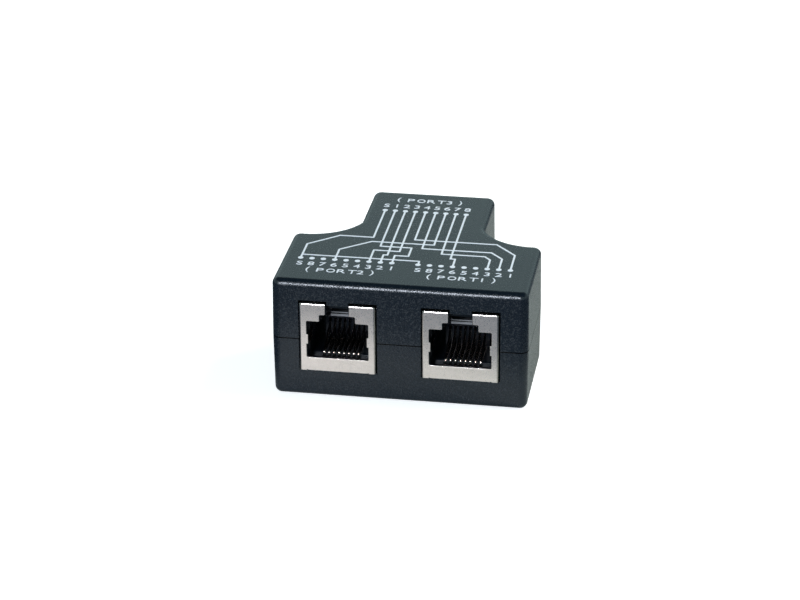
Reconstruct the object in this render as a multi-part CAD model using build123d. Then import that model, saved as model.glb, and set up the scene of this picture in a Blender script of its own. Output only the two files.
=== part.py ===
from build123d import *
import os
from math import atan2, degrees, hypot, radians, tan

# Splitter adapter with one network socket at the back of a neck and two at the front of a wide block.
# Millimetres. X runs across the two front sockets, -Y is the front, Z is up.
# The origin is the middle of the underside, so the adapter stands on the plane Z = 0.

# Shield: thin sheet folded round the jack, which is drawn with its face at Y = 0 and its foot at Z = 0
SHEET = 0.3
BEND_RADIUS = 0.38
CORNER_BEND = 0.55         # the two long upper edges
SHIELD_FIT = 0.05          # housing to the inside of the shield
SHIELD_PROUD = 0.5         # how far a shield stands out of the casing
SIDE_STRIP = 1.375         # shield face beside the mouth
TOP_STRIP = 2.42           # shield face over the step of the mouth

# Mouth of the shield
MOUTH_WIDTH = 12.6
MOUTH_SILL = 2.9           # height of the bar under the mouth
MOUTH_HEIGHT = 8.0
STEP_WIDTH = 7.3
STEP_HEIGHT = 1.5
GAP_WIDTH = 4.9
GAP_DEPTH = 2.3            # how far the latch gap runs into the top of the shield
MOUTH_CORNER = 0.25
FLAP_INSET = 1.6           # side of the shield to the flap folded in under the mouth
FLAP_LENGTH = 1.9
FLAP_BEND = 0.12
NOTCH_WIDTH = 0.25         # relief beside the flap
NOTCH_HEIGHT = 0.15
MOUTH_TOP = MOUTH_SILL + MOUTH_HEIGHT
STEP_TOP = MOUTH_TOP + STEP_HEIGHT
SHIELD_WIDTH = MOUTH_WIDTH + 2 * SIDE_STRIP
SHIELD_HEIGHT = STEP_TOP + TOP_STRIP
FLAP_WIDTH = SHIELD_WIDTH - 2 * FLAP_INSET

# Contacts
CONTACT_COUNT = 8
CONTACT_PITCH = 1.016
CONTACT_WIRE = 0.45
CONTACT_SLOT = 0.65
WIRE_GAP = 0.04            # round the wire where it passes through the carrier
SLOT_FLOOR = 0.8
WIRE_RUN = 1.15            # height of the straight run under the cavity floor
HAIRPIN_PLACE = 4.3        # wire middle at the front bend
HAIRPIN_RISE = 1.1
HAIRPIN_RADIUS = 0.45
TAIL_ROW = 2.54
TAIL_RADIUS = 0.6
TAIL_BELOW_BOARD = 1.0
TAIL_HOLE = 0.95

# Insulator housing
CAVITY_INSET = 0.355       # mouth of the shield to the side of the cavity
CAVITY_DROP = 0.75         # cavity floor below the sill of the mouth
CEILING_DROP = 0.4         # cavity ceiling below the top of the mouth
CAVITY_DEPTH = 13.2
SILL_DROP = 0.65           # lower floor in front of the contacts, below the cavity floor
SILL_DEPTH = 4.4
SILL_BEVEL = 0.22
FRONT_WALL = 1.6
POCKET_WIDTH = 6.9
POCKET_ROOF = 1.82         # top of the latch pocket to the top of the shield
POCKET_END = 5.2           # back of the latch pocket to the back of the cavity
HOUSING_LIP = 0.15         # how far the housing shows inside the shield's mouth
HOUSING_EDGE = 0.35
CAVITY_WIDTH = MOUTH_WIDTH - 2 * CAVITY_INSET
CAVITY_FLOOR = MOUTH_SILL - CAVITY_DROP
CAVITY_TOP = MOUTH_TOP - CEILING_DROP
FRONT_SILL = CAVITY_FLOOR - SILL_DROP
POCKET_TOP = SHIELD_HEIGHT - POCKET_ROOF
POCKET_DEPTH = CAVITY_DEPTH - POCKET_END

# Contact carrier behind the cavity, with the comb that guides the spring tips
COMB_REACH = 1.8           # how far the comb stands into the cavity
COMB_SIDE = 0.44           # comb beyond the outermost contact's share, each side
SLOT_TOP = 6.5
COMB_BAR = 0.38            # upright face over the slots
COMB_SLOPE = 20.0          # degrees that the two steps of the comb lean back
LOWER_STEP = 0.46
STEP_TREAD = 0.38
UPPER_STEP = 0.26
LEDGE_INSET = 1.0          # the stepped part stops short of the comb's sides
COMB_BACK = 0.2            # web left behind the comb slots
CARRIER_SIDE = 0.74
CARRIER_DEPTH = 4.05
CARRIER_GAP = 0.05
COMB_FRONT = CAVITY_DEPTH - COMB_REACH
COMB_WIDTH = CONTACT_COUNT * CONTACT_PITCH + 2 * COMB_SIDE
COMB_TOP = SLOT_TOP + COMB_BAR + LOWER_STEP + UPPER_STEP
CARRIER_WIDTH = CONTACT_COUNT * CONTACT_PITCH + 2 * CARRIER_SIDE
JACK_DEPTH = CAVITY_DEPTH + CARRIER_DEPTH + SHIELD_FIT + SHEET

# Where the wires end: the tips in the comb, the nearer row of tails behind the cavity
TIP_AHEAD = 0.65           # tip in front of the back of the cavity
TIP_DROP = 0.45            # tip below the top of its slot
TAIL_BEHIND = 1.1
TIP_PLACE = CAVITY_DEPTH - TIP_AHEAD
TIP_HEIGHT = SLOT_TOP - TIP_DROP
TAIL_NEAR = CAVITY_DEPTH + TAIL_BEHIND

# Ground springs folded in from the mouth
SPRING_HEIGHT = 2.05
SPRING_LENGTH = 4.8
SPRING_KNEE = 0.6          # depth at which the spring has turned to run inwards
SPRING_INSET = 0.33        # how far the springs narrow the mouth at each side
SPRING_BOW = 0.45
SPRING_ROOM = 0.15
SPRING_MIDDLE = MOUTH_SILL + MOUTH_HEIGHT / 2

# Circuit board and what carries it
WALL = 1.8
FLOOR = 1.8
ROOF = 1.8
POST_HEIGHT = 2.7
BOARD_THICKNESS = 1.6
BOARD_GAP = 0.4            # board edge to the inner wall
POST_DIAMETER = 3.2
PIN_COUNT = 2              # the first posts carry a pin that locates the board
PIN_DIAMETER = 1.6
PIN_ABOVE_BOARD = 0.8
PIN_GAP = 0.1              # round each locating pin
POST_INSET = 2.1           # wall face to the middle of a post
BOARD_BOTTOM = FLOOR + POST_HEIGHT
BOARD_TOP = BOARD_BOTTOM + BOARD_THICKNESS

# Pegs of the housing, shield legs, side windows and the barbs in them
PEG_DIAMETER = 3.1
PEG_BELOW_BOARD = 0.7
PEG_SPREAD = 11.43
PEG_AHEAD = 5.4            # pegs in front of the nearer row of tails
PEG_GAP = 0.1
LEG_WIDTH = 1.4
LEG_AHEAD = 2.9            # legs in front of the nearer row of tails
LEG_BELOW_BOARD = 1.0
LEG_HOLE_GAP = 0.2
WINDOW_WIDTH = 2.6
WINDOW_HEIGHT = 1.7
WINDOW_AHEAD = 1.0         # windows in front of the back of the cavity
WINDOW_DROP = 5.1          # below the top of the shield
BARB_GAP = 0.15
PEG_LENGTH = BOARD_THICKNESS + PEG_BELOW_BOARD
PEG_PLACE = TAIL_NEAR - PEG_AHEAD
LEG_PLACE = TAIL_NEAR - LEG_AHEAD
WINDOW_PLACE = CAVITY_DEPTH - WINDOW_AHEAD
WINDOW_MIDDLE = SHIELD_HEIGHT - WINDOW_DROP

# Solder under the board
SOLDER_RADIUS = 0.75
SOLDER_TIP = 0.3
SOLDER_HEIGHT = 0.8
LEG_SOLDER_RADIUS = 1.2

# Casing: its size follows from the jacks and the room left round them
APERTURE_GAP = 0.25        # round each shield
MIDDLE_ROOM = 9.35         # between the two front shields
SIDE_ROOM = 3.97           # front shield to the side wall
NECK_ROOM = 3.65           # rear shield to the side wall of the neck
HEADROOM = 2.68            # shield to the roof
JACK_GAP = 14.2            # back of the front jacks to the back of the rear jack
BEHIND_ROOM = 5.4          # back of the front jacks to the back wall of the wide block
SHOULDER_RISE = 7.5        # how far back the hollow shoulder runs before it meets the neck
SHOULDER_LAND = 2.2        # straight back edge outside each shoulder, its rounded corner included
CORNER_RADIUS = 1.7
NECK_CORNER_RADIUS = 1.8
NECK_ROOT_RADIUS = 1.2     # where the shoulder meets the side of the neck
EDGE_RADIUS = 1.3          # long edges round the top and the underside
DRAFT = 0.7                # degrees that the walls lean in, away from the joint
PORT_OFFSET = (SHIELD_WIDTH + MIDDLE_ROOM) / 2
HALF_WIDTH = PORT_OFFSET + SHIELD_WIDTH / 2 + SIDE_ROOM + WALL
HALF_NECK = SHIELD_WIDTH / 2 + NECK_ROOM + WALL
CASE_DEPTH = 2 * (JACK_DEPTH - SHIELD_PROUD) + JACK_GAP
CASE_HEIGHT = BOARD_TOP + SHIELD_HEIGHT + HEADROOM + ROOF
CASE_FRONT = -CASE_DEPTH / 2
CASE_BACK = CASE_DEPTH / 2
WIDE_BACK = CASE_FRONT + JACK_DEPTH - SHIELD_PROUD + BEHIND_ROOM + WALL

# Tab of the casing that fills the top of each shield's latch gap
TAB_INSET = 0.15           # behind the face of the casing
TAB_GAP = 0.25             # at its sides
TAB_END_GAP = 0.1          # behind it
TAB_DROP = 0.65            # below the top of the shield

# Joint between the two shells
JOINT_ABOVE_BOARD = 6.6
GROOVE_DEPTH = 0.5         # fine groove along the joint
GROOVE_HEIGHT = 0.18
TONGUE_THICKNESS = 0.8
TONGUE_HEIGHT = 1.0
TONGUE_GAP = 0.1
HOOK_WIDTH = 4.0
HOOK_THICKNESS = 1.0
HOOK_REACH = 4.0           # below the joint
HOOK_ROOT = 4.5            # above the joint
HOOK_NOSE = 0.45           # how far the nose enters its pocket
HOOK_RAMP = 1.0
HOOK_GAP = 0.15
HOOK_FREE_WIDTH = 0.4      # sideways play of a nose in its pocket
PARTING_HEIGHT = BOARD_TOP + JOINT_ABOVE_BOARD

# Ribs that hold the jacks down
RIB_THICKNESS = 1.0
RIB_SPREAD = 8.4
RIB_START = 4.5            # from the face of the jack
RIB_END = 2.1              # from its back
RIB_GAP = 0.1

# Printed pin diagram: dot rows are placed from the port or the edge of the casing that they belong to
INK = 0.05
TRACE_WIDTH = 0.38
DOT_DIAMETER = 1.1
DOT_COUNT = 9
BACK_DOT_PITCH = 2.145
BACK_DOT_MIDDLE = -0.43
BACK_DOT_INSET = 10.75     # from the back of the neck
FRONT_DOT_PITCH = 2.33
FRONT_DOT_INSET = 11.18    # from the front of the casing
PORT1_ROW_START = 10.23    # first dot to the middle of its port
PORT2_ROW_START = 9.48
LEVELS_BEHIND_DOTS = 12.12  # rearmost cross line to the front rows of dots
LEVEL_STEP = 2.09
SLANTS = {                 # sideways run and drop of the slanting line of five routes, by pin
    0: (5.9, 5.2),
    4: (4.3, 4.75),
    5: (2.5, 2.75),
    6: (5.9, 4.85),
    7: (1.25, 1.45),
}
BACK_DOT_LINE = CASE_BACK - BACK_DOT_INSET
FRONT_DOT_LINE = CASE_FRONT + FRONT_DOT_INSET
PORT1_FIRST_DOT = PORT_OFFSET - PORT1_ROW_START
PORT2_FIRST_DOT = -PORT_OFFSET - PORT2_ROW_START
FIRST_LEVEL = FRONT_DOT_LINE + LEVELS_BEHIND_DOTS

CUT = 1.0                  # spare length of a cutting solid past the face that it cuts
SINK = 0.3                 # how far a joined feature runs into the piece that carries it
NEAR = 0.01                # two places closer than this are the same
SEAT = (Align.CENTER, Align.CENTER, Align.MIN)
HANG = (Align.CENTER, Align.CENTER, Align.MAX)
FACE = (Align.CENTER, Align.MIN, Align.MIN)

# Where each jack stands: its own frame is turned and moved onto the board
PORTS = {
    "port1": Pos(PORT_OFFSET, CASE_FRONT - SHIELD_PROUD, BOARD_TOP),
    "port2": Pos(-PORT_OFFSET, CASE_FRONT - SHIELD_PROUD, BOARD_TOP),
    "port3": Pos(0, CASE_BACK + SHIELD_PROUD, BOARD_TOP) * Rot(0, 0, 180),
}


def span(x_low, x_high, y_low, y_high, z_low, z_high):
    """A plain block given by its six faces."""
    block = Box(x_high - x_low, y_high - y_low, z_high - z_low, align=(Align.MIN,) * 3)
    return Pos(x_low, y_low, z_low) * block


def case_outline():
    """Outline of the casing from above: a wide block, two hollow shoulders and a neck."""
    shoulder = (HALF_WIDTH - SHOULDER_LAND, WIDE_BACK)
    neck_root = (HALF_NECK, WIDE_BACK + SHOULDER_RISE)
    with BuildSketch() as outline:
        with BuildLine():
            Polyline((0, CASE_FRONT), (HALF_WIDTH, CASE_FRONT), (HALF_WIDTH, WIDE_BACK), shoulder)
            TangentArc(shoulder, neck_root, tangent=(-1, 0))
            Polyline(neck_root, (HALF_NECK, CASE_BACK), (0, CASE_BACK))
            mirror(about=Plane.YZ)
        make_face()
        wide = [v for v in outline.vertices() if abs(abs(v.X) - HALF_WIDTH) < NEAR]
        fillet(wide, CORNER_RADIUS)
        root = [v for v in outline.vertices() if abs(v.Y - neck_root[1]) < NEAR]
        fillet(root, NECK_ROOT_RADIUS)
        back = [v for v in outline.vertices() if abs(v.Y - CASE_BACK) < NEAR]
        fillet(back, NECK_CORNER_RADIUS)
    return outline.sketch


OUTLINE = case_outline()
INNER_OUTLINE = offset(OUTLINE, -WALL)


def ring(outer_inset, inner_inset, height):
    """A band that follows the wall, between two distances in from the outside of the casing."""
    outer = offset(OUTLINE, -outer_inset) if outer_inset else OUTLINE
    return extrude(outer - offset(OUTLINE, -inner_inset), height)


def apertures():
    """The three openings in the walls, a little larger than the shields that stand in them."""
    hole = span(-SHIELD_WIDTH / 2 - APERTURE_GAP, SHIELD_WIDTH / 2 + APERTURE_GAP,
                -CUT, SHIELD_PROUD + WALL + TONGUE_GAP,
                -APERTURE_GAP, SHIELD_HEIGHT + APERTURE_GAP)
    return [place * hole for place in PORTS.values()]


def hollow_case():
    """Both shells as one hollow block, before the joint is cut."""
    joint_face = Pos(0, 0, PARTING_HEIGHT) * OUTLINE
    block = extrude(joint_face, CASE_HEIGHT - PARTING_HEIGHT, taper=DRAFT)
    block += extrude(joint_face, PARTING_HEIGHT, dir=(0, 0, -1), taper=DRAFT)
    rims = block.faces().sort_by(Axis.Z)[0].edges() + block.faces().sort_by(Axis.Z)[-1].edges()
    block = fillet(rims, EDGE_RADIUS)
    block -= Pos(0, 0, FLOOR) * extrude(INNER_OUTLINE, CASE_HEIGHT - FLOOR - ROOF)
    block -= Pos(0, 0, PARTING_HEIGHT - GROOVE_HEIGHT / 2) * ring(0, GROOVE_DEPTH, GROOVE_HEIGHT)
    for hole in apertures():
        block -= hole
    return block


def above_joint():
    """The space over the plane where the shells meet."""
    reach = 4 * max(HALF_WIDTH, CASE_BACK)
    return Pos(0, 0, PARTING_HEIGHT) * Box(reach, reach, CASE_HEIGHT, align=SEAT)


def hook_places():
    """Four snap hooks: one on each side wall of the wide block and of the neck, facing their wall."""
    wide_middle = (CASE_FRONT + WIDE_BACK) / 2
    neck_middle = CASE_BACK - JACK_DEPTH / 2
    places = []
    for side, turn in ((1, 0), (-1, 180)):
        places.append(Pos(side * (HALF_WIDTH - WALL), wide_middle, PARTING_HEIGHT) * Rot(0, 0, turn))
        places.append(Pos(side * (HALF_NECK - WALL), neck_middle, PARTING_HEIGHT) * Rot(0, 0, turn))
    return places


def upright_profile(points, width):
    """A closed outline of (across, up) points, pulled evenly to both sides along the wall."""
    face = Plane.XZ * make_face(Polyline(*points, close=True))
    return extrude(face, width / 2, both=True)


def snap_hook():
    """A springy leg that hangs from the upper shell, with a nose that faces the wall at X = 0."""
    root_low = TONGUE_HEIGHT + TONGUE_GAP
    inner = -HOOK_GAP - HOOK_THICKNESS
    nose_top = HOOK_RAMP - HOOK_REACH
    points = [
        (SINK, root_low), (SINK, HOOK_ROOT), (0, HOOK_ROOT), (inner, HOOK_ROOT - HOOK_THICKNESS),
        (inner, -HOOK_REACH), (-HOOK_GAP, -HOOK_REACH), (HOOK_NOSE, nose_top - HOOK_GAP),
        (HOOK_NOSE, nose_top), (-HOOK_GAP, nose_top), (-HOOK_GAP, root_low),
    ]
    return upright_profile(points, HOOK_WIDTH)


def snap_pocket():
    """The pocket in the lower shell that a hook's nose springs into."""
    half = (HOOK_WIDTH + HOOK_FREE_WIDTH) / 2
    return span(-HOOK_GAP, HOOK_NOSE + HOOK_GAP, -half, half,
                -HOOK_REACH, HOOK_RAMP - HOOK_REACH + TONGUE_GAP)


def post_places():
    """Middles of the board posts, those with a locating pin first."""
    side = HALF_WIDTH - WALL - POST_INSET
    front = CASE_FRONT + WALL + BOARD_GAP + POST_DIAMETER
    rear = WIDE_BACK - WALL - BOARD_GAP - POST_DIAMETER
    neck = HALF_NECK - WALL - POST_INSET
    neck_end = CASE_BACK - WALL - BOARD_GAP - POST_DIAMETER
    return [(side, front), (-side, front), (side, rear), (-side, rear),
            (0, front), (neck, neck_end), (-neck, neck_end)]


def hold_down_ribs():
    """Ribs under the roof that stop just short of each shield's top."""
    low = SHIELD_HEIGHT + RIB_GAP
    high = CASE_HEIGHT - ROOF + SINK - BOARD_TOP
    ribs = []
    for place in PORTS.values():
        for side in (-1, 1):
            middle = side * RIB_SPREAD / 2
            rib = span(middle - RIB_THICKNESS / 2, middle + RIB_THICKNESS / 2,
                       RIB_START, JACK_DEPTH - RIB_END, low, high)
            ribs.append(place * rib)
    return ribs


def latch_tabs():
    """Tabs under the upper edge of each aperture, one in the latch gap of each shield."""
    half = GAP_WIDTH / 2 - TAB_GAP
    tab = span(-half, half, SHIELD_PROUD + TAB_INSET, GAP_DEPTH - TAB_END_GAP,
               SHIELD_HEIGHT - TAB_DROP, SHIELD_HEIGHT + APERTURE_GAP + SINK)
    return [place * tab for place in PORTS.values()]


def top_shell():
    """Upper shell: roof and upper walls, the rebate for the tongue, hooks, ribs and latch tabs."""
    shell = hollow_case() & above_joint()
    inset = WALL - TONGUE_THICKNESS - TONGUE_GAP
    rebate = ring(inset, WALL + TONGUE_GAP, TONGUE_HEIGHT + TONGUE_GAP)
    shell -= Pos(0, 0, PARTING_HEIGHT) * rebate
    for place in hook_places():
        shell += place * snap_hook()
    for feature in hold_down_ribs() + latch_tabs():
        shell += feature
    return shell


def bottom_shell():
    """Lower shell: floor and lower walls, the tongue, hook pockets and the posts for the board."""
    shell = hollow_case() - above_joint()
    tongue = Pos(0, 0, PARTING_HEIGHT - SINK) * ring(WALL - TONGUE_THICKNESS, WALL, SINK + TONGUE_HEIGHT)
    for hole in apertures():
        tongue -= hole
    shell += tongue
    for place in hook_places():
        shell -= place * snap_pocket()
    for number, (x, y) in enumerate(post_places()):
        post_height = BOARD_BOTTOM - FLOOR + SINK
        shell += Pos(x, y, FLOOR - SINK) * Cylinder(POST_DIAMETER / 2, post_height, align=SEAT)
        if number < PIN_COUNT:
            pin_height = SINK + BOARD_THICKNESS + PIN_ABOVE_BOARD
            shell += Pos(x, y, BOARD_BOTTOM - SINK) * Cylinder(PIN_DIAMETER / 2, pin_height, align=SEAT)
    return shell


def contact_side(number):
    """Sideways place of a contact in its jack, seen from the front with the latch gap on top."""
    return ((CONTACT_COUNT + 1) / 2 - number) * CONTACT_PITCH


def tail_place(number):
    """Depth of a contact's tail: odd and even contacts stand in two rows."""
    return TAIL_NEAR + (number % 2) * TAIL_ROW


def leg_places():
    """Sideways middles of the two shield legs."""
    reach = (SHIELD_WIDTH - SHEET) / 2
    return (-reach, reach)


def circuit_board():
    """Board in the outline of the casing, drilled for pegs, tails, legs and locating pins."""
    board = Pos(0, 0, BOARD_BOTTOM) * extrude(offset(OUTLINE, -WALL - BOARD_GAP), BOARD_THICKNESS)
    drill = BOARD_THICKNESS + 2 * CUT
    for x, y in post_places()[:PIN_COUNT]:
        hole = Cylinder(PIN_DIAMETER / 2 + PIN_GAP, drill)
        board -= Pos(x, y, BOARD_BOTTOM) * hole
    for place in PORTS.values():
        for side in (-1, 1):
            hole = Cylinder(PEG_DIAMETER / 2 + PEG_GAP, drill)
            board -= place * Pos(side * PEG_SPREAD / 2, PEG_PLACE, -BOARD_THICKNESS / 2) * hole
        for side in leg_places():
            hole = Cylinder(LEG_WIDTH / 2 + LEG_HOLE_GAP, drill)
            board -= place * Pos(side, LEG_PLACE, -BOARD_THICKNESS / 2) * hole
        for number in range(1, CONTACT_COUNT + 1):
            hole = Cylinder(TAIL_HOLE / 2, drill)
            side = contact_side(number)
            board -= place * Pos(side, tail_place(number), -BOARD_THICKNESS / 2) * hole
    return board


def mouth_face(grow):
    """Outline of a mouth in the XZ plane; a negative grow draws it in all round."""
    top = SHIELD_HEIGHT + CUT
    main = MOUTH_WIDTH / 2 + grow
    step = STEP_WIDTH / 2 + grow
    gap = GAP_WIDTH / 2 + grow
    right = [(main, MOUTH_SILL - grow), (main, MOUTH_TOP + grow), (step, MOUTH_TOP + grow),
             (step, STEP_TOP + grow), (gap, STEP_TOP + grow), (gap, top)]
    left = [(-x, z) for x, z in reversed(right)]
    return Plane.XZ * make_face(Polyline(*right, *left, close=True))


def mouth_cutter(grow, y_low, y_high):
    """The mouth outline as a solid between two depths, its upright corners slightly rounded."""
    face = mouth_face(grow)
    cutter = Pos(0, y_high, 0) * extrude(face, y_high - y_low)
    return fillet(cutter.edges().filter_by(Axis.Y), MOUTH_CORNER)


def ground_spring():
    """Strip folded in from the right edge of the mouth, bowed towards the middle."""
    front = MOUTH_WIDTH / 2 - SPRING_INSET
    back = front + SHEET
    bow = front - SPRING_BOW
    root = MOUTH_WIDTH / 2 + SHEET
    middle = (SPRING_KNEE + SPRING_LENGTH) / 2
    with BuildSketch() as strip:
        with BuildLine():
            Polyline((root, 0), (front, 0), (front, SPRING_KNEE))
            ThreePointArc((front, SPRING_KNEE), (bow, middle), (front, SPRING_LENGTH))
            Line((front, SPRING_LENGTH), (back, SPRING_LENGTH))
            ThreePointArc((back, SPRING_LENGTH), (bow + SHEET, middle), (back, SPRING_KNEE))
            Polyline((back, SPRING_KNEE), (back, SHEET), (root, SHEET), (root, 0))
        make_face()
    return Pos(0, 0, SPRING_MIDDLE - SPRING_HEIGHT / 2) * extrude(strip.sketch, SPRING_HEIGHT)


def bent_box(inset, width, depth, height):
    """Block whose upper edges and corners are bent round; inside the sheet the bends are tighter by it."""
    block = Box(width, depth, height, align=FACE)
    block = fillet(block.edges().filter_by(Axis.Y).group_by(Axis.Z)[-1], CORNER_BEND - inset)
    faces = [edge for edge in block.edges()
             if edge.center().Z > NEAR and not NEAR < edge.center().Y < depth - NEAR]
    return fillet(faces, BEND_RADIUS - inset)


def shield():
    """Folded sheet box round the jack, open underneath, with its mouth, flap, springs and legs."""
    folded = bent_box(0, SHIELD_WIDTH, JACK_DEPTH, SHIELD_HEIGHT)
    folded -= Pos(0, SHEET, -CUT) * bent_box(SHEET, SHIELD_WIDTH - 2 * SHEET, JACK_DEPTH - 2 * SHEET,
                                             SHIELD_HEIGHT - SHEET + CUT)
    folded -= mouth_cutter(0, -CUT, SHEET + CUT)
    folded -= span(-GAP_WIDTH / 2, GAP_WIDTH / 2, -CUT, GAP_DEPTH, SHIELD_HEIGHT - CUT, SHIELD_HEIGHT + CUT)
    for side in (-1, 1):
        middle = side * (FLAP_WIDTH + NOTCH_WIDTH) / 2
        folded -= span(middle - NOTCH_WIDTH / 2, middle + NOTCH_WIDTH / 2,
                       -CUT, SHEET + CUT, -CUT, NOTCH_HEIGHT)
    folded += span(-FLAP_WIDTH / 2, FLAP_WIDTH / 2, 0, FLAP_LENGTH, 0, SHEET)
    bend = span(-FLAP_WIDTH / 2, FLAP_WIDTH / 2, -CUT, FLAP_BEND, -CUT, FLAP_BEND)
    bend -= Pos(0, FLAP_BEND, FLAP_BEND) * Rot(0, 90, 0) * Cylinder(FLAP_BEND, SHIELD_WIDTH)
    folded -= bend
    spring = ground_spring()
    folded += spring
    folded += mirror(spring, Plane.YZ)
    for side in leg_places():
        window = Pos(side, WINDOW_PLACE, WINDOW_MIDDLE) * Box(2 * CUT, WINDOW_WIDTH, WINDOW_HEIGHT)
        folded -= window
        folded += span(side - SHEET / 2, side + SHEET / 2,
                       LEG_PLACE - LEG_WIDTH / 2, LEG_PLACE + LEG_WIDTH / 2,
                       -BOARD_THICKNESS - LEG_BELOW_BOARD, SHEET)
    return folded


def housing():
    """Black insulator inside the shield: the plug cavity, the latch pocket, the contact slots and pegs."""
    half = SHIELD_WIDTH / 2 - SHEET - SHIELD_FIT
    front = SHEET + SHIELD_FIT
    back = JACK_DEPTH - SHEET - SHIELD_FIT
    top = SHIELD_HEIGHT - SHEET - SHIELD_FIT
    body = span(-half, half, front, back, 0, top)
    body = chamfer([edge for edge in body.edges() if edge.center().Z > NEAR], HOUSING_EDGE)
    body -= span(-half, half, front - CUT, FLAP_LENGTH + SHIELD_FIT, -CUT, SHEET + SHIELD_FIT)

    body -= mouth_cutter(-HOUSING_LIP, front - CUT, FRONT_WALL + front)
    body -= span(-GAP_WIDTH / 2 + HOUSING_LIP, GAP_WIDTH / 2 - HOUSING_LIP,
                 front - CUT, GAP_DEPTH, POCKET_TOP - CUT, top + CUT)
    cavity = CAVITY_WIDTH / 2
    body -= span(-cavity, cavity, front - CUT, SILL_DEPTH, FRONT_SILL, CAVITY_TOP)
    body -= span(-cavity, cavity, front - CUT, CAVITY_DEPTH, CAVITY_FLOOR, CAVITY_TOP)
    body -= span(-POCKET_WIDTH / 2, POCKET_WIDTH / 2, FRONT_WALL + front, POCKET_DEPTH,
                 CAVITY_FLOOR, POCKET_TOP)

    ledge = [edge for edge in body.edges()
             if abs(edge.center().Y - SILL_DEPTH) < NEAR and abs(edge.center().Z - CAVITY_FLOOR) < NEAR]
    body = chamfer(ledge, SILL_BEVEL)

    for number in range(1, CONTACT_COUNT + 1):
        side = contact_side(number)
        body -= span(side - CONTACT_SLOT / 2, side + CONTACT_SLOT / 2, SILL_DEPTH - CUT, CAVITY_DEPTH + CUT,
                     SLOT_FLOOR, CAVITY_FLOOR + CUT)
    carrier_half = CARRIER_WIDTH / 2 + CARRIER_GAP
    body -= span(-carrier_half, carrier_half, CAVITY_DEPTH - CARRIER_GAP, back + CUT,
                 -CUT, COMB_TOP + CARRIER_GAP)

    spring_low = SPRING_MIDDLE - SPRING_HEIGHT / 2 - SPRING_ROOM
    spring_high = SPRING_MIDDLE + SPRING_HEIGHT / 2 + SPRING_ROOM
    room = MOUTH_WIDTH / 2 + SHEET + SPRING_ROOM
    body -= span(-room, room, front - CUT, SPRING_LENGTH + 2 * SPRING_ROOM, spring_low, spring_high)

    for side in (-1, 1):
        peg = Cylinder(PEG_DIAMETER / 2, PEG_LENGTH + SINK, align=HANG)
        peg = chamfer(peg.edges().sort_by(Axis.Z)[0], HOUSING_EDGE)
        body += Pos(side * PEG_SPREAD / 2, PEG_PLACE, SINK) * peg
    for side in leg_places():
        body += Pos(side, WINDOW_PLACE, WINDOW_MIDDLE) * Box(
            SHEET + 2 * SHIELD_FIT + SHEET, WINDOW_WIDTH - 2 * BARB_GAP, WINDOW_HEIGHT - 2 * BARB_GAP)
    outer_half = SHIELD_WIDTH / 2
    return body & span(-outer_half, outer_half, 0, JACK_DEPTH, -PEG_LENGTH, SHIELD_HEIGHT)


def contact(number, extra=0):
    """Bent wire: a tail through the board, a run under the floor, a hairpin and the rising spring."""
    tail = tail_place(number)
    tip_low = -BOARD_THICKNESS - TAIL_BELOW_BOARD
    points = [(tail, tip_low), (tail, WIRE_RUN), (HAIRPIN_PLACE, WIRE_RUN),
              (HAIRPIN_PLACE, WIRE_RUN + HAIRPIN_RISE), (TIP_PLACE, TIP_HEIGHT)]
    path = FilletPolyline(*[(0, y, z) for y, z in points],
                          radius=[TAIL_RADIUS, HAIRPIN_RADIUS, HAIRPIN_RADIUS])
    section = Plane(origin=path @ 0, z_dir=path % 0) * Circle((CONTACT_WIRE + extra) / 2)
    return Pos(contact_side(number), 0, 0) * sweep(section, path)


def stepped_ledge():
    """Top of the comb: two steps whose faces lean back, narrower than the comb itself."""
    low = SLOT_TOP + COMB_BAR
    middle = low + LOWER_STEP
    lean = tan(radians(COMB_SLOPE))
    tread = COMB_FRONT + LOWER_STEP * lean
    points = [(COMB_FRONT, SLOT_TOP), (COMB_FRONT, low), (tread, middle), (tread + STEP_TREAD, middle),
              (tread + STEP_TREAD + UPPER_STEP * lean, COMB_TOP), (CAVITY_DEPTH, COMB_TOP),
              (CAVITY_DEPTH, SLOT_TOP)]
    face = Plane.YZ * make_face(Polyline(*points, close=True))
    return extrude(face, COMB_WIDTH / 2 - LEDGE_INSET, both=True)


def contact_carrier():
    """Insert behind the cavity: holds the wires and guides the spring tips in its comb."""
    half = CARRIER_WIDTH / 2
    back = JACK_DEPTH - SHEET - SHIELD_FIT
    body = span(-half, half, CAVITY_DEPTH, back, 0, COMB_TOP)
    body += span(-COMB_WIDTH / 2, COMB_WIDTH / 2, COMB_FRONT, CAVITY_DEPTH,
                 CAVITY_FLOOR + CARRIER_GAP, SLOT_TOP + COMB_BAR)
    body += stepped_ledge()
    for number in range(1, CONTACT_COUNT + 1):
        side = contact_side(number)
        body -= span(side - CONTACT_SLOT / 2, side + CONTACT_SLOT / 2,
                     COMB_FRONT - CUT, CAVITY_DEPTH - COMB_BACK, 0, SLOT_TOP)
        body -= contact(number, WIRE_GAP)
    return body


def solder():
    """Small cones of solder on the underside of the board, round each tail and each shield leg."""
    joints = []
    for number in range(1, CONTACT_COUNT + 1):
        cone = Cone(SOLDER_TIP, SOLDER_RADIUS, SOLDER_HEIGHT, align=HANG)
        cone -= Cylinder(CONTACT_WIRE / 2, 2 * SOLDER_HEIGHT + CUT)
        joints.append(Pos(contact_side(number), tail_place(number), -BOARD_THICKNESS) * cone)
    for side in leg_places():
        cone = Cone(LEG_WIDTH / 2, LEG_SOLDER_RADIUS, SOLDER_HEIGHT, align=HANG)
        cone -= Box(SHEET, LEG_WIDTH, 2 * SOLDER_HEIGHT + CUT)
        joints.append(Pos(side, LEG_PLACE, -BOARD_THICKNESS) * cone)
    return Compound(children=joints)


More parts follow.
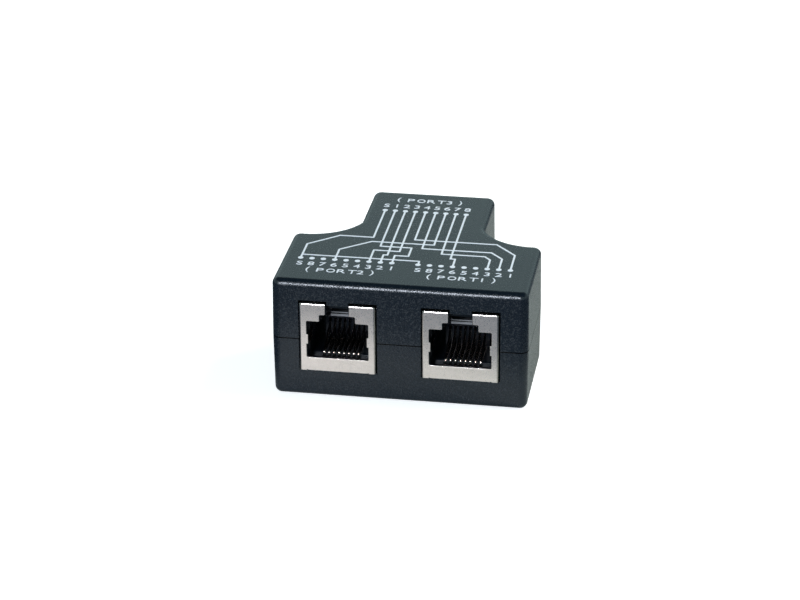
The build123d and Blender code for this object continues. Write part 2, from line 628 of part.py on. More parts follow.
def back_dot(pin):
    """Sideways place of a dot in the row of port 3: 0 is the shield, 1 to 8 the pins."""
    return BACK_DOT_MIDDLE + (pin - (DOT_COUNT - 1) / 2) * BACK_DOT_PITCH


def front_dot(first, pin):
    """Sideways place of a dot in a front row: the shield comes first, then pins 8 down to 1."""
    steps = 0 if pin == 0 else DOT_COUNT - pin
    return first + steps * FRONT_DOT_PITCH


def level(number):
    """Y place of a cross line, counted from the rearmost."""
    return FIRST_LEVEL - number * LEVEL_STEP


def port_dot(port, pin):
    """Place of a dot in the row of port 1 or port 2."""
    first = PORT1_FIRST_DOT if port == 1 else PORT2_FIRST_DOT
    return (front_dot(first, pin), FRONT_DOT_LINE)


def straight_end(port, pin, cross):
    """The end of a route that leaves its cross line squarely."""
    x, y = port_dot(port, pin)
    return [(x, level(cross)), (x, y)]


def slanting_end(start, port, pin, cross):
    """The end of a route that leaves its cross line on a slant, from the side the line comes from."""
    run, drop = SLANTS[start]
    x, y = port_dot(port, pin)
    side = -1 if port == 1 else 1
    return [(x + side * run, level(cross)), (x, level(cross) - drop), (x, y)]


def down_from(pin, cross):
    """The start of a route: straight forward from port 3 to a cross line."""
    return [(back_dot(pin), BACK_DOT_LINE), (back_dot(pin), level(cross))]


def trace_routes():
    """The ten lines of the diagram as lists of corners: nine from port 3, and the common shield line."""
    return [
        down_from(0, 0) + slanting_end(0, 2, 0, 0),
        down_from(1, 2) + [(back_dot(4), level(2)), (back_dot(4), level(4))] + straight_end(2, 1, 4),
        down_from(2, 4) + straight_end(2, 2, 4),
        down_from(3, 3) + straight_end(2, 3, 3),
        down_from(4, 0) + slanting_end(4, 1, 1, 0),
        down_from(5, 2) + slanting_end(5, 1, 2, 2),
        down_from(6, 1) + slanting_end(6, 2, 6, 1),
        down_from(7, 3) + slanting_end(7, 1, 3, 3),
        down_from(8, 4) + straight_end(1, 6, 4),
        [(port_dot(2, 0)[0], level(5))] + straight_end(1, 0, 5),
    ]


def pin_diagram():
    """Ink on the roof: every route as a line of even width and a round dot at each pin."""
    dots = [(back_dot(pin), BACK_DOT_LINE) for pin in range(DOT_COUNT)]
    dots += [port_dot(port, pin) for port in (1, 2) for pin in range(DOT_COUNT)]
    ink = Sketch() + [Pos(x, y) * Circle(DOT_DIAMETER / 2) for x, y in dots]
    for route in trace_routes():
        for (x1, y1), (x2, y2) in zip(route, route[1:]):
            turn = degrees(atan2(y2 - y1, x2 - x1))
            middle = Pos((x1 + x2) / 2, (y1 + y2) / 2) * Rot(0, 0, turn)
            ink += middle * Rectangle(hypot(x2 - x1, y2 - y1), TRACE_WIDTH)
        for x, y in route[1:-1]:
            ink += Pos(x, y) * Circle(TRACE_WIDTH / 2)
    return Pos(0, 0, CASE_HEIGHT) * extrude(ink, INK)


def nodes():
    """Every piece by its name, in the order the adapter is put together."""
    pieces = {"bottom_shell": bottom_shell(), "circuit_board": circuit_board()}
    shield_piece, housing_piece, carrier_piece = shield(), housing(), contact_carrier()
    contacts = {number: contact(number) for number in range(1, CONTACT_COUNT + 1)}
    joints = solder()
    for port, place in PORTS.items():
        pieces[f"{port}_housing"] = place * housing_piece
        pieces[f"{port}_contact_carrier"] = place * carrier_piece
        for number, wire in contacts.items():
            pieces[f"{port}_contact_{number}"] = place * wire
        pieces[f"{port}_shield"] = place * shield_piece
        pieces[f"{port}_solder"] = place * joints
    pieces["top_shell"] = top_shell()
    pieces["pin_diagram_print"] = pin_diagram()
    return pieces


os.makedirs("parts", exist_ok=True)
for name, piece in nodes().items():
    export_step(piece, f"parts/{name}.step")
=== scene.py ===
from math import cos, radians, sin

import bpy
from mathutils import Matrix, Vector


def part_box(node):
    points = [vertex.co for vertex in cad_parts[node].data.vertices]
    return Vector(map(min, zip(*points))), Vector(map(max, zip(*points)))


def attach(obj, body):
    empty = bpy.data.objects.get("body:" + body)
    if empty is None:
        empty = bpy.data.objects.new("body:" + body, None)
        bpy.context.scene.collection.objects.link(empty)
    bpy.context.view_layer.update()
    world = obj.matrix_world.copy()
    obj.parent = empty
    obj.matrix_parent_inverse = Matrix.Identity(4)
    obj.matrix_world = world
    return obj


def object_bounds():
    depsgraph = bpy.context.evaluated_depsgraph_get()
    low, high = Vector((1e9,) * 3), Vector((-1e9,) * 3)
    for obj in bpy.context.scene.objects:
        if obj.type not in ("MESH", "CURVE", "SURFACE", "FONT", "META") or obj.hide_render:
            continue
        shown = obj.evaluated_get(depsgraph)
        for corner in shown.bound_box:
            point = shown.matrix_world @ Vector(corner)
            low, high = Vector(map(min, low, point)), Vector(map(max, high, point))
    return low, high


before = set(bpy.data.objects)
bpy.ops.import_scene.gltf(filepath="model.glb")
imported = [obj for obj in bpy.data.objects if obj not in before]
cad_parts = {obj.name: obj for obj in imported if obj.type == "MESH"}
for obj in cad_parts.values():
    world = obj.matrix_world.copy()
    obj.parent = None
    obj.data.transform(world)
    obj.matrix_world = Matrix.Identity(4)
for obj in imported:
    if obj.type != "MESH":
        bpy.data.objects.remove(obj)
cad_low, cad_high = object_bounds()
MM = 0.001


# Casing shells: two mouldings of black plastic from spark-eroded moulds, pitted and smoother on the roof.
# They meet in a fine groove at half height and are held by snap hooks inside.
# All sizes but the studio's are in millimetres.
CASING_BLACK = (0.0010, 0.0030, 0.0060, 1.0)
CASING_GREY = (0.0035, 0.0075, 0.0125, 1.0)
CASING_GLOSS = (0.20, 0.27)    # roughness of the plastic between its pits
CASING_CLOUD = 0.9             # size of its slow unevenness
CASING_GRAIN = 0.38            # size of the lumps of its grain
PIT_SIZE = 0.30
PIT_EDGE = (0.52, 0.65)        # the cloudiness at which a pit begins and at which it is fully dull
PIT_ROUGHNESS = 0.60
ROOF_BAND = 0.25               # the pits grow more from this far under the roof to twice as far
ROOF_PITS = 0.12               # share of the pits that is left on the roof
# painted shade: the near-black colour of the groove of the joint
JOINT_PAINTED_SHADE = (0.0005, 0.0005, 0.0006, 1.0)
TONGUE = 1.0                   # the lower shell's tongue rises this far above the joint
JOINT_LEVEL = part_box("bottom_shell")[1].z - TONGUE * MM
HALF_GROOVE = 0.1              # painted shade: black and plain up to here on both sides of the joint
JOINT_BAND = 0.16              # out to here the plastic takes on its colour, pits and grain
FINE_GRAIN = 0.35              # size of the finer lumps of a grain as a share of its coarse ones


def effect(name, inputs, outputs):
    """A shader node group with named value inputs and named outputs, ready to be filled."""
    group = bpy.data.node_groups.new(name, "ShaderNodeTree")
    for label, value in inputs.items():
        socket = group.interface.new_socket(label, in_out="INPUT", socket_type="NodeSocketFloat")
        socket.default_value = value
    for label in outputs:
        group.interface.new_socket(label, in_out="OUTPUT", socket_type="NodeSocketFloat")
    return group, group.nodes.new("NodeGroupInput"), group.nodes.new("NodeGroupOutput")


def step(tree, kind, wires=(), **settings):
    """Adds one node, sets its properties and wires or fills its inputs by socket name or number."""
    node = tree.nodes.new(kind)
    for label, value in settings.items():
        setattr(node, label, value)
    for socket, source in dict(wires).items():
        if isinstance(source, bpy.types.NodeSocket):
            tree.links.new(source, node.inputs[socket])
        else:
            node.inputs[socket].default_value = source
    return node


def arithmetic(tree, operation, *values):
    """The result of one operation on sockets or numbers."""
    return step(tree, "ShaderNodeMath", dict(enumerate(values)), operation=operation).outputs[0]


def coordinate(tree, axis):
    """Where a point of the surface is along X, Y or Z."""
    place = step(tree, "ShaderNodeTexCoord").outputs["Object"]
    return step(tree, "ShaderNodeSeparateXYZ", {0: place}).outputs[axis]


def rising(tree, value, start, end):
    """A mask that goes from 0 to 1 as the value goes from start to end."""
    limits = {"Value": value, "From Min": start, "From Max": end}
    return step(tree, "ShaderNodeMapRange", limits).outputs[0]


def between(tree, mask, low, high):
    """A value that goes from low to high as the mask goes from 0 to 1."""
    return step(tree, "ShaderNodeMapRange", {"Value": mask, "To Min": low, "To Max": high}).outputs[0]


def tinted(tree, mask, low, high):
    """A colour that goes from low to high as the mask goes from 0 to 1."""
    return step(tree, "ShaderNodeMix", {0: mask, 6: low, 7: high}, data_type="RGBA").outputs[2]


def mixed(tree, mask, low, high):
    """A value that goes from low to high as the mask goes from 0 to 1; both ends may be sockets."""
    return step(tree, "ShaderNodeMix", {0: mask, 2: low, 3: high}, data_type="FLOAT").outputs[0]


def sized_noise(tree, place, size, detail=2.0, roughness=0.5):
    """Noise whose lumps are about the given size in millimetres; the size may be a socket."""
    per_metre = arithmetic(tree, "DIVIDE", 1.0 / MM, size)
    noise = step(tree, "ShaderNodeTexNoise",
                 {"Vector": place, "Scale": per_metre, "Detail": detail, "Roughness": roughness})
    return noise.outputs[0]


def moulded_grain():
    """Height of a spark-eroded mould surface: lumps of one size with finer ones over them."""
    tree, given, made = effect("moulded_grain", {"Grain size": 0.3, "Fine share": 0.4}, ("Height",))
    place = step(tree, "ShaderNodeTexCoord").outputs["Object"]
    coarse = sized_noise(tree, place, given.outputs["Grain size"], 2.0, 0.6)
    fine_size = arithmetic(tree, "MULTIPLY", given.outputs["Grain size"], FINE_GRAIN)
    fine = sized_noise(tree, place, fine_size, 1.0)
    tree.links.new(mixed(tree, given.outputs["Fine share"], coarse, fine), made.inputs["Height"])
    return tree


def cloudiness():
    """Slow unevenness of a surface, from 0 to 1, at two sizes."""
    tree, given, made = effect("cloudiness", {"Cloud size": 6.0, "Streak": 1.0}, ("Cloud",))
    place = step(tree, "ShaderNodeTexCoord").outputs["Object"]
    streak = step(tree, "ShaderNodeCombineXYZ", {"X": 1.0, "Y": 1.0, "Z": given.outputs["Streak"]})
    squeezed = step(tree, "ShaderNodeVectorMath", {0: place, 1: streak.outputs[0]}, operation="MULTIPLY")
    cloud = sized_noise(tree, squeezed.outputs[0], given.outputs["Cloud size"], 3.0, 0.55)
    tree.links.new(cloud, made.inputs["Cloud"])
    return tree


MOULDED_GRAIN = moulded_grain()
CLOUDINESS = cloudiness()


def new_finish(name):
    """An empty material with its shader wired to the output."""
    finish = bpy.data.materials.new(name)
    finish.use_nodes = True
    return finish, finish.node_tree, finish.node_tree.nodes["Principled BSDF"]


def placed_effect(tree, group, **values):
    """The result of one of the shared effects inside a material, with its own values."""
    node = tree.nodes.new("ShaderNodeGroup")
    node.node_tree = group
    for label, value in values.items():
        node.inputs[label.replace("_", " ")].default_value = value
    return node.outputs[0]


def surface_relief(tree, shader, height, depth, edge, share=1.0):
    """Bumps a surface by the given depth and softens its edges to the given radius, both in millimetres.
    The share, from 0 to 1, says how much of both is there; it may be a socket."""
    radius = arithmetic(tree, "MULTIPLY", share, edge * MM)
    soft_edge = step(tree, "ShaderNodeBevel", {"Radius": radius}, samples=6)
    bump = step(tree, "ShaderNodeBump", {"Height": height, "Distance": depth * MM, "Strength": share,
                                         "Normal": soft_edge.outputs[0]})
    tree.links.new(bump.outputs[0], shader.inputs["Normal"])


def give(piece, finish):
    """Puts one finish on the whole of a piece."""
    piece.data.materials.clear()
    piece.data.materials.append(finish)


def casing_finish():
    """Smooth plastic with small dull pits: hardly any on the roof, and none in the groove of the joint,
    which is painted near black as shade.
    """
    finish, tree, shader = new_finish("casing_plastic")
    grain = placed_effect(tree, MOULDED_GRAIN, Grain_size=CASING_GRAIN, Fine_share=0.35)
    cloud = placed_effect(tree, CLOUDINESS, Cloud_size=CASING_CLOUD)
    level = coordinate(tree, "Z")
    distance = arithmetic(tree, "ABSOLUTE", arithmetic(tree, "SUBTRACT", level, JOINT_LEVEL))
    off_joint = rising(tree, distance, HALF_GROOVE * MM, JOINT_BAND * MM)
    plastic = tinted(tree, cloud, CASING_BLACK, CASING_GREY)
    # painted shade: the groove of the joint is coloured near black for the shade in it
    tree.links.new(tinted(tree, off_joint, JOINT_PAINTED_SHADE, plastic), shader.inputs["Base Color"])

    pits = rising(tree, placed_effect(tree, CLOUDINESS, Cloud_size=PIT_SIZE), *PIT_EDGE)
    below_roof = rising(tree, level, cad_high.z - ROOF_BAND * MM, cad_high.z - 2 * ROOF_BAND * MM)
    pitted = arithmetic(tree, "MULTIPLY", between(tree, below_roof, ROOF_PITS, 1.0), off_joint)
    dull = arithmetic(tree, "MULTIPLY", pits, pitted)
    smooth = between(tree, cloud, *CASING_GLOSS)
    tree.links.new(mixed(tree, dull, smooth, PIT_ROUGHNESS), shader.inputs["Roughness"])
    surface_relief(tree, shader, grain, depth=0.055, edge=0.08, share=off_joint)
    shader.inputs["IOR"].default_value = 1.5
    return finish


casing_plastic = casing_finish()
for name in ("bottom_shell", "top_shell"):
    give(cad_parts[name], casing_plastic)


# Circuit board: glass-fibre plate under green solder resist, drilled for the jacks.
# It sits on posts in the lower shell and carries all three jacks.
RESIST_DARK = (0.006, 0.07, 0.03, 1.0)
RESIST_LIGHT = (0.012, 0.12, 0.05, 1.0)


def board_finish():
    """Glossy resist with slow unevenness in its colour and gloss."""
    finish, tree, shader = new_finish("solder_resist")
    cloud = placed_effect(tree, CLOUDINESS, Cloud_size=1.2)
    tree.links.new(tinted(tree, cloud, RESIST_DARK, RESIST_LIGHT), shader.inputs["Base Color"])
    tree.links.new(between(tree, cloud, 0.25, 0.4), shader.inputs["Roughness"])
    return finish


give(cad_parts["circuit_board"], board_finish())


# Jack insulators: smooth black plastic, glossy enough to catch light on their edges.
# The contact carriers behind them are a duller, glass-filled grade.
# Pegs and the solder of the contacts hold each jack on the board.
PORTS = ("port1", "port2", "port3")
INSULATOR_BLACK = (0.0015, 0.0025, 0.004, 1.0)
INSULATOR_GREY = (0.003, 0.0045, 0.007, 1.0)


def insulator_finish(name, shine, roughness, edge):
    """Black plastic; the shine is its index of refraction, the edge its rounding in millimetres."""
    finish, tree, shader = new_finish(name)
    cloud = placed_effect(tree, CLOUDINESS, Cloud_size=2.5)
    grain = placed_effect(tree, MOULDED_GRAIN, Grain_size=0.15)
    tree.links.new(tinted(tree, cloud, INSULATOR_BLACK, INSULATOR_GREY), shader.inputs["Base Color"])
    tree.links.new(between(tree, cloud, *roughness), shader.inputs["Roughness"])
    surface_relief(tree, shader, grain, depth=0.004, edge=edge)
    shader.inputs["IOR"].default_value = shine
    return finish


housing_black = insulator_finish("insulator_black", shine=1.33, roughness=(0.16, 0.24), edge=0.1)
carrier_black = insulator_finish("carrier_black", shine=1.28, roughness=(0.26, 0.34), edge=0.07)
for port in PORTS:
    give(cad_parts[port + "_housing"], housing_black)
    give(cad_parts[port + "_contact_carrier"], carrier_black)


# Contacts: eight bent springs of gold-plated bronze wire in each jack.
# Their front bends show in the mouth and their tips rest in the carrier's comb.
CONTACT_COUNT = 8
GOLD_DARK = (0.88, 0.73, 0.64, 1.0)
GOLD_LIGHT = (0.97, 0.82, 0.75, 1.0)


def contact_finish():
    """Thin gold plating, a little uneven in colour and gloss."""
    finish, tree, shader = new_finish("gold_plate")
    cloud = placed_effect(tree, CLOUDINESS, Cloud_size=0.8)
    tree.links.new(tinted(tree, cloud, GOLD_DARK, GOLD_LIGHT), shader.inputs["Base Color"])
    tree.links.new(between(tree, cloud, 0.1, 0.18), shader.inputs["Roughness"])
    shader.inputs["Metallic"].default_value = 1.0
    return finish


gold_plate = contact_finish()
for port in PORTS:
    for number in range(1, CONTACT_COUNT + 1):
        give(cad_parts[f"{port}_contact_{number}"], gold_plate)


# Shields: thin steel sheet, stamped, folded round each jack and nickel plated to a satin finish.
# Legs go through the board, and the folded springs touch the plug.
NICKEL_DARK = (0.75, 0.66, 0.60, 1.0)
NICKEL_LIGHT = (0.91, 0.80, 0.74, 1.0)
NICKEL_PAINTED_SHADE = (0.40, 0.36, 0.33, 1.0)          # painted shade: behind its face the plated sheet is darker
FACE_PLANE = abs(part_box("port1_shield")[0].y)  # how far the faces of the shields stand from the middle
SATIN_DEPTH = 0.03                             # the satin of the face ends this far behind it
SATIN_ROUGHNESS = (0.16, 0.44)
BEND_ROUGHNESS = 0.1                           # the smoother finish that the rolls left


def shield_finish():
    """Nickel whose face is satin with a fine grain, and whose bends and sides are smoother and painted
    darker as shade.
    """
    finish, tree, shader = new_finish("satin_nickel")
    cloud = placed_effect(tree, CLOUDINESS, Cloud_size=0.9, Streak=1.4)
    grain = placed_effect(tree, MOULDED_GRAIN, Grain_size=0.22, Fine_share=0.4)
    outward = arithmetic(tree, "ABSOLUTE", coordinate(tree, "Y"))
    on_face = rising(tree, outward, FACE_PLANE - SATIN_DEPTH * MM, FACE_PLANE)
    plate = tinted(tree, cloud, NICKEL_DARK, NICKEL_LIGHT)
    # painted shade: off the face the plate takes the darker colour
    tree.links.new(tinted(tree, on_face, NICKEL_PAINTED_SHADE, plate), shader.inputs["Base Color"])
    satin = between(tree, grain, *SATIN_ROUGHNESS)
    tree.links.new(mixed(tree, on_face, BEND_ROUGHNESS, satin), shader.inputs["Roughness"])
    surface_relief(tree, shader, grain, depth=0.010, edge=0.07)
    shader.inputs["Metallic"].default_value = 1.0
    return finish


satin_nickel = shield_finish()
for port in PORTS:
    give(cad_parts[port + "_shield"], satin_nickel)


# Solder joints: small bright cones under the board, round every tail and shield leg.
# They hold the jacks to the board and join the contacts to it.
def solder_finish():
    """Bright metal with patches of duller skin."""
    finish, tree, shader = new_finish("bright_solder")
    cloud = placed_effect(tree, CLOUDINESS, Cloud_size=0.5)
    tree.links.new(between(tree, cloud, 0.18, 0.4), shader.inputs["Roughness"])
    shader.inputs["Base Color"].default_value = (0.66, 0.66, 0.65, 1.0)
    shader.inputs["Metallic"].default_value = 1.0
    return finish


bright_solder = solder_finish()
for port in PORTS:
    give(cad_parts[port + "_solder"], bright_solder)


# Pin diagram: pale blue-white ink, screened on the roof in one pass.
# The lines and dots are one print with the numbers and port labels beside them.
INK_DARK = (0.62, 0.67, 0.72, 1.0)
INK_LIGHT = (0.80, 0.83, 0.88, 1.0)


def ink_finish():
    """Matt ink that covers a little unevenly."""
    finish, tree, shader = new_finish("screen_ink")
    cloud = placed_effect(tree, CLOUDINESS, Cloud_size=0.5)
    tree.links.new(tinted(tree, cloud, INK_DARK, INK_LIGHT), shader.inputs["Base Color"])
    tree.links.new(between(tree, cloud, 0.5, 0.7), shader.inputs["Roughness"])
    return finish


screen_ink = ink_finish()
give(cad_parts["pin_diagram_print"], screen_ink)


# Numbers and labels: the same ink in raised glyphs, each centred on its dot or on its place in the label.
# A glyph is as wide as the stretch makes it, up to the widest, and its strokes are swollen by the bold.
ink_low, ink_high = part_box("pin_diagram_print")
ROOF = ink_low.z
INK = ink_high.z - ink_low.z
CAP_SHARE = 0.73               # height of a capital as a share of the type size
CURVE_STEPS = 5
PEN_SIDES = 6
DIGIT = {"height": 1.72, "stretch": 1.3, "widest": 1.32, "bold": 0.006}
LETTER = {"height": 1.75, "stretch": 1.4, "widest": 1.75, "bold": 0.006}
BRACKET = {"height": 1.9, "stretch": 1.05, "widest": 1.72, "bold": 0.02}
BACK_ROW = {"pitch": 2.145, "line": 16.0}
FRONT_ROW = {"pitch": 2.33, "line": -15.55}
LABELS = {                     # middle and base line of each port's label
    "port3": (-0.4, 19.3),
    "port2": (-12.85, -18.4),
    "port1": (11.6, -18.45),
}
LETTER_PITCH = 2.16
LABEL_START = -3.98            # from the middle of the label to its first letter
LABEL_END = 4.2                # to the number after the letters
BRACKET_START = -6.55          # to the opening bracket
BRACKET_GAP = 13.05            # from one bracket to the other


def glyph_row():
    """Node tree that prints a string glyph by glyph along a line, each glyph centred on its own place."""
    tree = bpy.data.node_groups.new("glyph_row", "GeometryNodeTree")
    lengths = ("First place", "Pitch", "Line", "Height", "Stretch", "Widest glyph", "Bold", "Base level",
               "Thickness")
    tree.interface.new_socket("Glyphs", in_out="INPUT", socket_type="NodeSocketString")
    for label in lengths:
        tree.interface.new_socket(label, in_out="INPUT", socket_type="NodeSocketFloat")
    tree.interface.new_socket("Ink", in_out="INPUT", socket_type="NodeSocketMaterial")
    tree.interface.new_socket("Print", in_out="OUTPUT", socket_type="NodeSocketGeometry")
    given = tree.nodes.new("NodeGroupInput").outputs
    made = tree.nodes.new("NodeGroupOutput")

    begin = tree.nodes.new("GeometryNodeRepeatInput")
    end = tree.nodes.new("GeometryNodeRepeatOutput")
    begin.pair_with_output(end)
    length = step(tree, "FunctionNodeStringLength", {"String": given["Glyphs"]})
    tree.links.new(length.outputs[0], begin.inputs["Iterations"])
    number = begin.outputs["Iteration"]

    glyph = step(tree, "FunctionNodeSliceString",
                 {"String": given["Glyphs"], "Position": number, "Length": 1})
    size = arithmetic(tree, "DIVIDE", given["Height"], CAP_SHARE)
    curve = step(tree, "GeometryNodeStringToCurves", {"String": glyph.outputs[0], "Size": size})
    plain = step(tree, "GeometryNodeRealizeInstances", {"Geometry": curve.outputs["Curve Instances"]})
    outline = step(tree, "GeometryNodeSetSplineResolution",
                   {"Geometry": plain.outputs[0], "Resolution": CURVE_STEPS})
    box = step(tree, "GeometryNodeBoundBox", {"Geometry": outline.outputs[0], "Use Radius": False})

    middle = step(tree, "ShaderNodeMix", {0: 0.5, 4: box.outputs["Min"], 5: box.outputs["Max"]},
                  data_type="VECTOR")
    away = step(tree, "ShaderNodeVectorMath", {0: middle.outputs[1], 1: (-1.0, -1.0, -1.0)},
                operation="MULTIPLY")
    centred = step(tree, "GeometryNodeTransform",
                   {"Geometry": outline.outputs[0], "Translation": away.outputs[0]})
    extent = step(tree, "ShaderNodeVectorMath", {0: box.outputs["Max"], 1: box.outputs["Min"]},
                  operation="SUBTRACT")
    width = step(tree, "ShaderNodeSeparateXYZ", {0: extent.outputs[0]}).outputs["X"]
    limit = arithmetic(tree, "DIVIDE", given["Widest glyph"], width)
    across = arithmetic(tree, "MINIMUM", limit, given["Stretch"])
    scale = step(tree, "ShaderNodeCombineXYZ", {"X": across, "Y": 1.0, "Z": 1.0})
    along = arithmetic(tree, "MULTIPLY_ADD", number, given["Pitch"], given["First place"])
    place = step(tree, "ShaderNodeCombineXYZ", {"X": along, "Y": given["Line"]})
    set_glyph = step(tree, "GeometryNodeTransform",
                     {"Geometry": centred.outputs[0], "Scale": scale.outputs[0],
                      "Translation": place.outputs[0]})

    flat = step(tree, "GeometryNodeFillCurve", {"Curve": set_glyph.outputs[0]})
    raised = step(tree, "GeometryNodeExtrudeMesh", {"Mesh": flat.outputs[0], "Individual": False,
                                                    "Offset Scale": given["Thickness"]})
    underside = step(tree, "GeometryNodeFlipFaces", {"Mesh": flat.outputs[0]})
    pen = step(tree, "GeometryNodeCurvePrimitiveCircle", {"Resolution": PEN_SIDES, "Radius": given["Bold"]})
    stroke = step(tree, "GeometryNodeCurveToMesh", {"Curve": set_glyph.outputs[0],
                                                    "Profile Curve": pen.outputs["Curve"]})
    half_ink = arithmetic(tree, "MULTIPLY", given["Thickness"], 0.5)
    squash = arithmetic(tree, "DIVIDE", half_ink, given["Bold"])
    pressed = step(tree, "ShaderNodeCombineXYZ", {"X": 1.0, "Y": 1.0, "Z": squash})
    lift = step(tree, "ShaderNodeCombineXYZ", {"Z": half_ink})
    edge = step(tree, "GeometryNodeTransform", {"Geometry": stroke.outputs[0], "Scale": pressed.outputs[0],
                                                "Translation": lift.outputs[0]})

    row = tree.nodes.new("GeometryNodeJoinGeometry")
    for part in (begin.outputs["Geometry"], raised.outputs["Mesh"], underside.outputs[0], edge.outputs[0]):
        tree.links.new(part, row.inputs[0])
    tree.links.new(row.outputs[0], end.inputs["Geometry"])
    base = step(tree, "ShaderNodeCombineXYZ", {"Z": given["Base level"]})
    on_roof = step(tree, "GeometryNodeTransform", {"Geometry": end.outputs["Geometry"],
                                                   "Translation": base.outputs[0]})
    whole = step(tree, "GeometryNodeRealizeInstances", {"Geometry": on_roof.outputs[0]})
    inked = step(tree, "GeometryNodeSetMaterial", {"Geometry": whole.outputs[0], "Material": given["Ink"]})
    tree.links.new(inked.outputs[0], made.inputs["Print"])
    return tree


GLYPH_ROW = glyph_row()


def print_row(name, glyphs, first, pitch, line, height, stretch, widest, bold):
    """Prints one row of glyphs on the roof as a piece of its own; lengths are in millimetres."""
    draft = bpy.data.objects.new(name + "_draft", bpy.data.meshes.new(name + "_draft"))
    bpy.context.scene.collection.objects.link(draft)
    modifier = draft.modifiers.new("glyph_row", "NODES")
    modifier.node_group = GLYPH_ROW
    inputs = (item for item in GLYPH_ROW.interface.items_tree if item.in_out == "INPUT")
    socket = {item.name: item.identifier for item in inputs}
    values = {"Glyphs": glyphs, "First place": first * MM, "Pitch": pitch * MM, "Line": line * MM,
              "Height": height * MM, "Stretch": stretch, "Widest glyph": widest * MM,
              "Bold": bold * MM, "Base level": ROOF, "Thickness": INK, "Ink": screen_ink}
    for label, value in values.items():
        modifier[socket[label]] = value
    graph = bpy.context.evaluated_depsgraph_get()
    mesh = bpy.data.meshes.new_from_object(draft.evaluated_get(graph), depsgraph=graph)
    bpy.data.objects.remove(draft)
    mesh.name = name
    piece = bpy.data.objects.new(name, mesh)
    bpy.context.scene.collection.objects.link(piece)
    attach(piece, "root")


print_row("port3_numbers", "S12345678", first=-9.04, **BACK_ROW, **DIGIT)
print_row("port2_numbers", "S87654321", first=-21.55, **FRONT_ROW, **DIGIT)
print_row("port1_numbers", "S87654321", first=2.42, **FRONT_ROW, **DIGIT)
for port, (middle, line) in LABELS.items():
    letters, number = port[:-1].upper(), port[-1]
    print_row(port + "_label", letters, middle + LABEL_START, LETTER_PITCH, line, **LETTER)
    print_row(port + "_label_number", number, middle + LABEL_END, LETTER_PITCH, line, **DIGIT)
    print_row(port + "_brackets", "()", middle + BRACKET_START, BRACKET_GAP, line, **BRACKET)


# Studio: a painted pool of light on a floor painted dim as shade, a pale wall all round and a dark ceiling.
# One strong soft lamp stands low in front, and a second one fills from the upper right.
# All lengths of the studio are in metres.
FLOOR_REACH = 3.0
PAPER = (0.85, 0.85, 0.85, 1.0)
PAPER_GLOW = 0.6
# painted pool of light that the adapter mirrors
PAINTED_POOL_LIGHT = (0.88, 0.87, 0.86, 1.0)
# painted shade: the colour to which the pool of light darkens on the right
PAINTED_POOL_SHADE = (0.60, 0.64, 0.615, 1.0)
SHADE_FROM, SHADE_TO = -0.024, 0.027    # painted shade: the pool of light grows darker to the right between these places
PAINTED_POOL_BLUR = 0.009
PAINTED_POOL_EDGES = (                         # way out of the painted pool of light, and how far from the middle its edge is
    ((-1.0, 0.0, 0.0), 0.029),
    ((1.0, 0.0, 0.0), 0.042),
    ((0.0, 1.0, 0.0), 0.085),
    ((0.28, -1.0, 0.0), 0.0447),
)
# painted shade: the floor round the pool of light
PAINTED_FLOOR_SHADE = (0.10, 0.12, 0.15, 1.0)
WALL_COLOUR = (0.76, 1.0, 1.02, 1.0)
WALL_LIGHT = 0.75
WALL_TOP = 0.58                         # sine of the height angle at which the pale wall ends
WALL_BLUR = 0.12
CEILING = 0.06
LAMP_TARGET = Vector((0.0, 0.0, 0.01))


def studio_floor():
    """The floor looks white all over from the camera; the adapter mirrors a painted pool of light, darker
    to the right, with painted shade round it.
    """
    mesh = bpy.data.meshes.new("studio_floor")
    corners = [(-FLOOR_REACH, -FLOOR_REACH, 0), (FLOOR_REACH, -FLOOR_REACH, 0),
               (FLOOR_REACH, FLOOR_REACH, 0), (-FLOOR_REACH, FLOOR_REACH, 0)]
    mesh.from_pydata(corners, [], [(0, 1, 2, 3)])
    floor = bpy.data.objects.new("studio_floor", mesh)
    bpy.context.scene.collection.objects.link(floor)
    finish, tree, shader = new_finish("pale_floor")
    shader.inputs["Roughness"].default_value = 0.9
    shader.inputs["Specular IOR Level"].default_value = 0.1

    place = step(tree, "ShaderNodeTexCoord").outputs["Object"]
    past_edge = -1.0
    for way_out, reach in PAINTED_POOL_EDGES:
        along = step(tree, "ShaderNodeVectorMath", {0: place, 1: way_out}, operation="DOT_PRODUCT")
        outside = arithmetic(tree, "SUBTRACT", along.outputs["Value"], reach)
        past_edge = arithmetic(tree, "MAXIMUM", outside, past_edge)
    in_painted_shade = rising(tree, past_edge, 0.0, PAINTED_POOL_BLUR)
    # painted shade: the pool of light darkens towards the right
    shade = rising(tree, coordinate(tree, "X"), SHADE_FROM, SHADE_TO)
    # painted pool of light, darker to the right, with painted shade round it
    mirrored = tinted(tree, in_painted_shade, tinted(tree, shade, PAINTED_POOL_LIGHT, PAINTED_POOL_SHADE), PAINTED_FLOOR_SHADE)
    seen = step(tree, "ShaderNodeLightPath").outputs["Is Camera Ray"]
    tree.links.new(tinted(tree, seen, mirrored, PAPER), shader.inputs["Base Color"])
    tree.links.new(arithmetic(tree, "MULTIPLY", seen, PAPER_GLOW), shader.inputs["Emission Strength"])
    shader.inputs["Emission Color"].default_value = (1.0, 1.0, 1.0, 1.0)
    give(floor, finish)


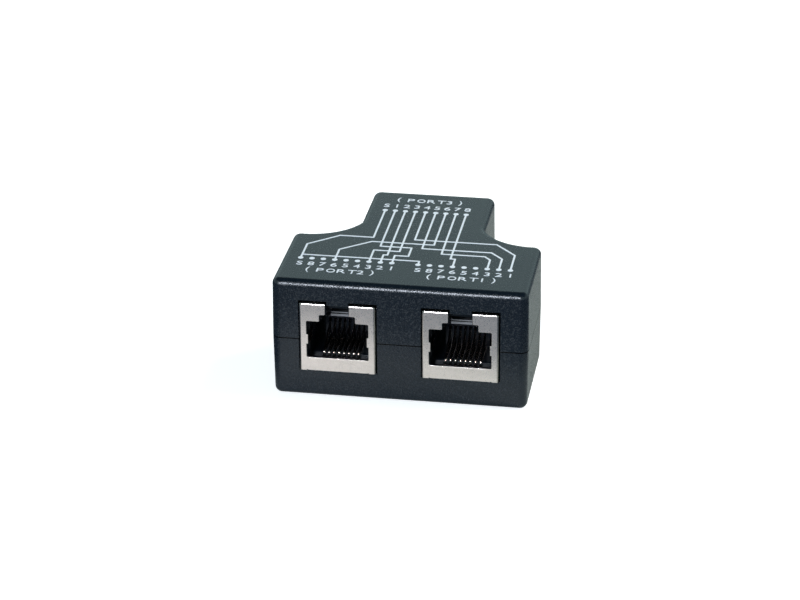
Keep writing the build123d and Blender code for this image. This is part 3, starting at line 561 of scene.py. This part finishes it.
def surround():
    """A pale wall all round up to the height of the wall, and a dark ceiling over it."""
    world = bpy.data.worlds.new("studio")
    bpy.context.scene.world = world
    world.use_nodes = True
    tree = world.node_tree
    ambient = tree.nodes["Background"]
    direction = step(tree, "ShaderNodeTexCoord").outputs["Generated"]
    upward = step(tree, "ShaderNodeSeparateXYZ", {0: direction}).outputs["Z"]
    limits = {"Value": upward, "From Min": WALL_TOP - WALL_BLUR, "From Max": WALL_TOP + WALL_BLUR,
              "To Min": WALL_LIGHT, "To Max": CEILING}
    wall = step(tree, "ShaderNodeMapRange", limits, interpolation_type="SMOOTHSTEP")
    tree.links.new(wall.outputs[0], ambient.inputs["Strength"])
    ambient.inputs["Color"].default_value = WALL_COLOUR


def soft_lamp(name, place, size, power, colour, mirrored):
    """A flat soft lamp that faces the adapter; it may be left out of what gloss mirrors."""
    lamp = bpy.data.lights.new(name, "AREA")
    lamp.color = colour
    lamp.shape = "RECTANGLE"
    lamp.size, lamp.size_y = size
    lamp.energy = power
    holder = bpy.data.objects.new(name, lamp)
    bpy.context.scene.collection.objects.link(holder)
    holder.location = place
    holder.rotation_euler = (LAMP_TARGET - Vector(place)).to_track_quat("-Z", "Y").to_euler()
    holder.visible_glossy = mirrored


studio_floor()
surround()
soft_lamp("front", place=(-0.135, -0.84, 0.30), size=(0.15, 0.30), power=7.2, colour=(0.82, 0.88, 1.0),
          mirrored=True)
soft_lamp("upper_right", place=(0.36, 0.12, 0.42), size=(0.25, 0.25), power=2.4, colour=(1.0, 1.0, 0.97),
          mirrored=False)


# Camera: at the photograph's angle, a long lens from slightly to the right and well above.
# Its place is in millimetres, and its angles are in degrees.
CAMERA_PLACE = (75.8, -475.79, 237.8)
CAMERA_AZIMUTH = radians(9.4925)
CAMERA_ELEVATION = radians(25.1658)
CAMERA_ROLL = radians(-0.3842)
CAMERA_LENS = 115.56
SENSOR_WIDTH = 36.0
back = Vector((sin(CAMERA_AZIMUTH) * cos(CAMERA_ELEVATION), -cos(CAMERA_AZIMUTH) * cos(CAMERA_ELEVATION),
               sin(CAMERA_ELEVATION)))
level_right = Vector((cos(CAMERA_AZIMUTH), sin(CAMERA_AZIMUTH), 0))
level_up = back.cross(level_right)
right = level_right * cos(CAMERA_ROLL) + level_up * sin(CAMERA_ROLL)
up = level_up * cos(CAMERA_ROLL) - level_right * sin(CAMERA_ROLL)
camera_data = bpy.data.cameras.new("camera")
camera_data.lens = CAMERA_LENS
camera_data.sensor_width = SENSOR_WIDTH
camera = bpy.data.objects.new("camera", camera_data)
bpy.context.scene.collection.objects.link(camera)
turn = Matrix((right, up, back)).transposed().to_4x4()
camera.matrix_world = Matrix.Translation(Vector(CAMERA_PLACE) * MM) @ turn
bpy.context.scene.camera = camera
bpy.context.scene.view_settings.view_transform = "Standard"
